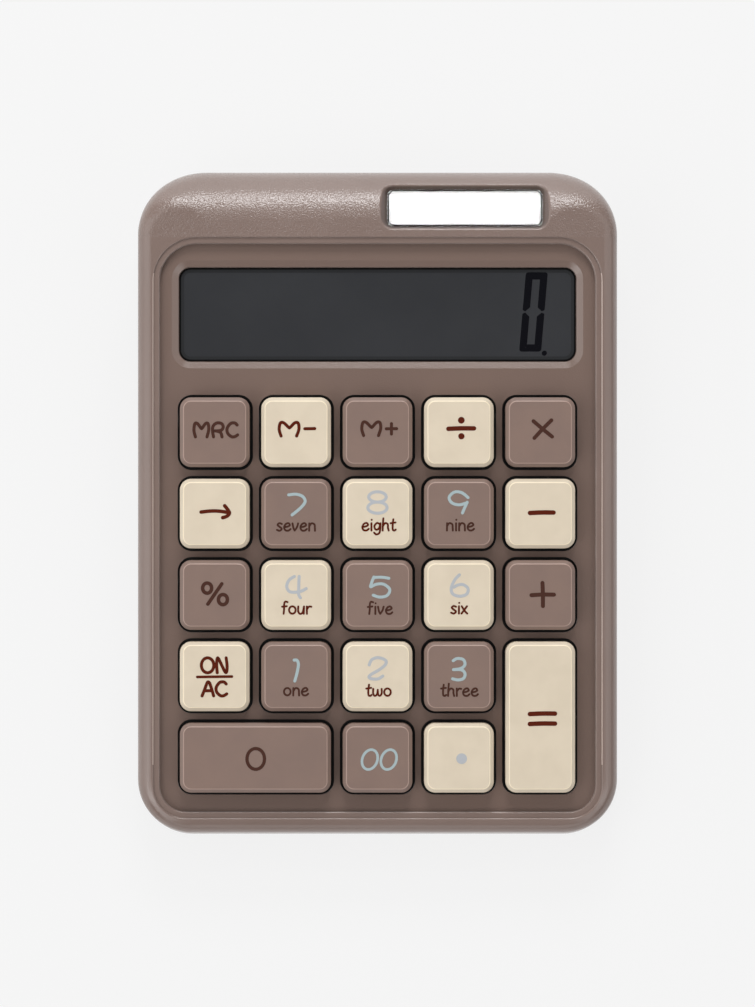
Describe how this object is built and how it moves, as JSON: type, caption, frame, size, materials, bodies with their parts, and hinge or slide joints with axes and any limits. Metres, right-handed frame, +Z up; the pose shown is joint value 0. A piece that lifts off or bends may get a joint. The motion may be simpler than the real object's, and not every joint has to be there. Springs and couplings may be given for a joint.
{
  "type": "desk calculator",
  "caption": "Wedge-shaped desk calculator: square keys that press into a sunken deck, a wide display under a smoked window, a solar strip in the rounded rear bolster and a sliding battery door.",
  "frame": {"origin": "under the middle of the case, on the plane of the feet", "axes": "+X right, +Y to the rear, +Z up"},
  "size_m": [0.107, 0.148, 0.0273],
  "materials": {
    "case_brown": "fine moulded grain, satin",
    "key_brown": "smooth satin",
    "key_cream": "smooth satin",
    "foot_rubber": "matte",
    "screw_steel": "zinc plated",
    "window_clear": "polished clear",
    "lcd_glass": "polished",
    "inner_plastic": "plain",
    "connector_rubber": "matte",
    "solar_glass": "polished",
    "lead_red": "insulated",
    "lead_black": "insulated",
    "board_green": "solder mask",
    "epoxy_black": "poured resin",
    "capacitor_can": "sleeved",
    "membrane_rubber": "matte",
    "pill_rubber": "matte",
    "battery_can": "sleeved",
    "contact_metal": "nickel plated"
  },
  "bodies": {
    "case": {"upper_case": "case_brown", "lower_case": "case_brown", "rubber_feet": "foot_rubber", "case_screws": "screw_steel", "board_screws": "screw_steel", "display_window": "window_clear", "solar_window": "window_clear", "lcd_panel": "lcd_glass", "lcd_frame": "inner_plastic", "lcd_connector": "connector_rubber", "solar_cell": "solar_glass", "solar_lead_positive": "lead_red", "solar_lead_negative": "lead_black", "battery_lead_positive": "lead_red", "battery_lead_negative": "lead_black", "main_board": "board_green", "controller_blob": "epoxy_black", "board_capacitors": "capacitor_can", "keypad_membrane": "membrane_rubber", "contact_pills": "pill_rubber", "battery_cell": "battery_can", "battery_spring": "contact_metal", "battery_contact_plate": "contact_metal"},
    "battery_door": {"battery_door": "case_brown"},
    "key_0": {"key_0": "key_brown"},
    "key_00": {"key_00": "key_brown"},
    "key_point": {"key_point": "key_cream"},
    "key_equals": {"key_equals": "key_cream"},
    "key_on_ac": {"key_on_ac": "key_cream"},
    "key_1": {"key_1": "key_brown"},
    "key_2": {"key_2": "key_cream"},
    "key_3": {"key_3": "key_brown"},
    "key_percent": {"key_percent": "key_brown"},
    "key_4": {"key_4": "key_cream"},
    "key_5": {"key_5": "key_brown"},
    "key_6": {"key_6": "key_cream"},
    "key_plus": {"key_plus": "key_brown"},
    "key_backspace": {"key_backspace": "key_cream"},
    "key_7": {"key_7": "key_brown"},
    "key_8": {"key_8": "key_cream"},
    "key_9": {"key_9": "key_brown"},
    "key_minus": {"key_minus": "key_cream"},
    "key_mrc": {"key_mrc": "key_brown"},
    "key_m_minus": {"key_m_minus": "key_cream"},
    "key_m_plus": {"key_m_plus": "key_brown"},
    "key_divide": {"key_divide": "key_cream"},
    "key_multiply": {"key_multiply": "key_brown"}
  },
  "joints": [
    {"name": "key_0_press", "type": "slide", "parent": "case", "child": "key_0", "axis": [0, 0.0872, -0.9962], "range_m": [0, 0.002], "stiffness_N_per_m": 350, "springref_m": -0.0005, "deforming": ["keypad_membrane", "contact_pills"]},
    {"name": "key_00_press", "type": "slide", "parent": "case", "child": "key_00", "axis": [0, 0.0872, -0.9962], "range_m": [0, 0.002], "stiffness_N_per_m": 350, "springref_m": -0.0005, "deforming": ["keypad_membrane", "contact_pills"]},
    {"name": "key_point_press", "type": "slide", "parent": "case", "child": "key_point", "axis": [0, 0.0872, -0.9962], "range_m": [0, 0.002], "stiffness_N_per_m": 350, "springref_m": -0.0005, "deforming": ["keypad_membrane", "contact_pills"]},
    {"name": "key_equals_press", "type": "slide", "parent": "case", "child": "key_equals", "axis": [0, 0.0872, -0.9962], "range_m": [0, 0.002], "stiffness_N_per_m": 350, "springref_m": -0.0005, "deforming": ["keypad_membrane", "contact_pills"]},
    {"name": "key_on_ac_press", "type": "slide", "parent": "case", "child": "key_on_ac", "axis": [0, 0.0872, -0.9962], "range_m": [0, 0.002], "stiffness_N_per_m": 350, "springref_m": -0.0005, "deforming": ["keypad_membrane", "contact_pills"]},
    {"name": "key_1_press", "type": "slide", "parent": "case", "child": "key_1", "axis": [0, 0.0872, -0.9962], "range_m": [0, 0.002], "stiffness_N_per_m": 350, "springref_m": -0.0005, "deforming": ["keypad_membrane", "contact_pills"]},
    {"name": "key_2_press", "type": "slide", "parent": "case", "child": "key_2", "axis": [0, 0.0872, -0.9962], "range_m": [0, 0.002], "stiffness_N_per_m": 350, "springref_m": -0.0005, "deforming": ["keypad_membrane", "contact_pills"]},
    {"name": "key_3_press", "type": "slide", "parent": "case", "child": "key_3", "axis": [0, 0.0872, -0.9962], "range_m": [0, 0.002], "stiffness_N_per_m": 350, "springref_m": -0.0005, "deforming": ["keypad_membrane", "contact_pills"]},
    {"name": "key_percent_press", "type": "slide", "parent": "case", "child": "key_percent", "axis": [0, 0.0872, -0.9962], "range_m": [0, 0.002], "stiffness_N_per_m": 350, "springref_m": -0.0005, "deforming": ["keypad_membrane", "contact_pills"]},
    {"name": "key_4_press", "type": "slide", "parent": "case", "child": "key_4", "axis": [0, 0.0872, -0.9962], "range_m": [0, 0.002], "stiffness_N_per_m": 350, "springref_m": -0.0005, "deforming": ["keypad_membrane", "contact_pills"]},
    {"name": "key_5_press", "type": "slide", "parent": "case", "child": "key_5", "axis": [0, 0.0872, -0.9962], "range_m": [0, 0.002], "stiffness_N_per_m": 350, "springref_m": -0.0005, "deforming": ["keypad_membrane", "contact_pills"]},
    {"name": "key_6_press", "type": "slide", "parent": "case", "child": "key_6", "axis": [0, 0.0872, -0.9962], "range_m": [0, 0.002], "stiffness_N_per_m": 350, "springref_m": -0.0005, "deforming": ["keypad_membrane", "contact_pills"]},
    {"name": "key_plus_press", "type": "slide", "parent": "case", "child": "key_plus", "axis": [0, 0.0872, -0.9962], "range_m": [0, 0.002], "stiffness_N_per_m": 350, "springref_m": -0.0005, "deforming": ["keypad_membrane", "contact_pills"]},
    {"name": "key_backspace_press", "type": "slide", "parent": "case", "child": "key_backspace", "axis": [0, 0.0872, -0.9962], "range_m": [0, 0.002], "stiffness_N_per_m": 350, "springref_m": -0.0005, "deforming": ["keypad_membrane", "contact_pills"]},
    {"name": "key_7_press", "type": "slide", "parent": "case", "child": "key_7", "axis": [0, 0.0872, -0.9962], "range_m": [0, 0.002], "stiffness_N_per_m": 350, "springref_m": -0.0005, "deforming": ["keypad_membrane", "contact_pills"]},
    {"name": "key_8_press", "type": "slide", "parent": "case", "child": "key_8", "axis": [0, 0.0872, -0.9962], "range_m": [0, 0.002], "stiffness_N_per_m": 350, "springref_m": -0.0005, "deforming": ["keypad_membrane", "contact_pills"]},
    {"name": "key_9_press", "type": "slide", "parent": "case", "child": "key_9", "axis": [0, 0.0872, -0.9962], "range_m": [0, 0.002], "stiffness_N_per_m": 350, "springref_m": -0.0005, "deforming": ["keypad_membrane", "contact_pills"]},
    {"name": "key_minus_press", "type": "slide", "parent": "case", "child": "key_minus", "axis": [0, 0.0872, -0.9962], "range_m": [0, 0.002], "stiffness_N_per_m": 350, "springref_m": -0.0005, "deforming": ["keypad_membrane", "contact_pills"]},
    {"name": "key_mrc_press", "type": "slide", "parent": "case", "child": "key_mrc", "axis": [0, 0.0872, -0.9962], "range_m": [0, 0.002], "stiffness_N_per_m": 350, "springref_m": -0.0005, "deforming": ["keypad_membrane", "contact_pills"]},
    {"name": "key_m_minus_press", "type": "slide", "parent": "case", "child": "key_m_minus", "axis": [0, 0.0872, -0.9962], "range_m": [0, 0.002], "stiffness_N_per_m": 350, "springref_m": -0.0005, "deforming": ["keypad_membrane", "contact_pills"]},
    {"name": "key_m_plus_press", "type": "slide", "parent": "case", "child": "key_m_plus", "axis": [0, 0.0872, -0.9962], "range_m": [0, 0.002], "stiffness_N_per_m": 350, "springref_m": -0.0005, "deforming": ["keypad_membrane", "contact_pills"]},
    {"name": "key_divide_press", "type": "slide", "parent": "case", "child": "key_divide", "axis": [0, 0.0872, -0.9962], "range_m": [0, 0.002], "stiffness_N_per_m": 350, "springref_m": -0.0005, "deforming": ["keypad_membrane", "contact_pills"]},
    {"name": "key_multiply_press", "type": "slide", "parent": "case", "child": "key_multiply", "axis": [0, 0.0872, -0.9962], "range_m": [0, 0.002], "stiffness_N_per_m": 350, "springref_m": -0.0005, "deforming": ["keypad_membrane", "contact_pills"]},
    {"name": "battery_door_slide", "type": "slide", "parent": "case", "child": "battery_door", "axis": [0, 1, 0], "range_m": [0, 0.016]}
  ]
}
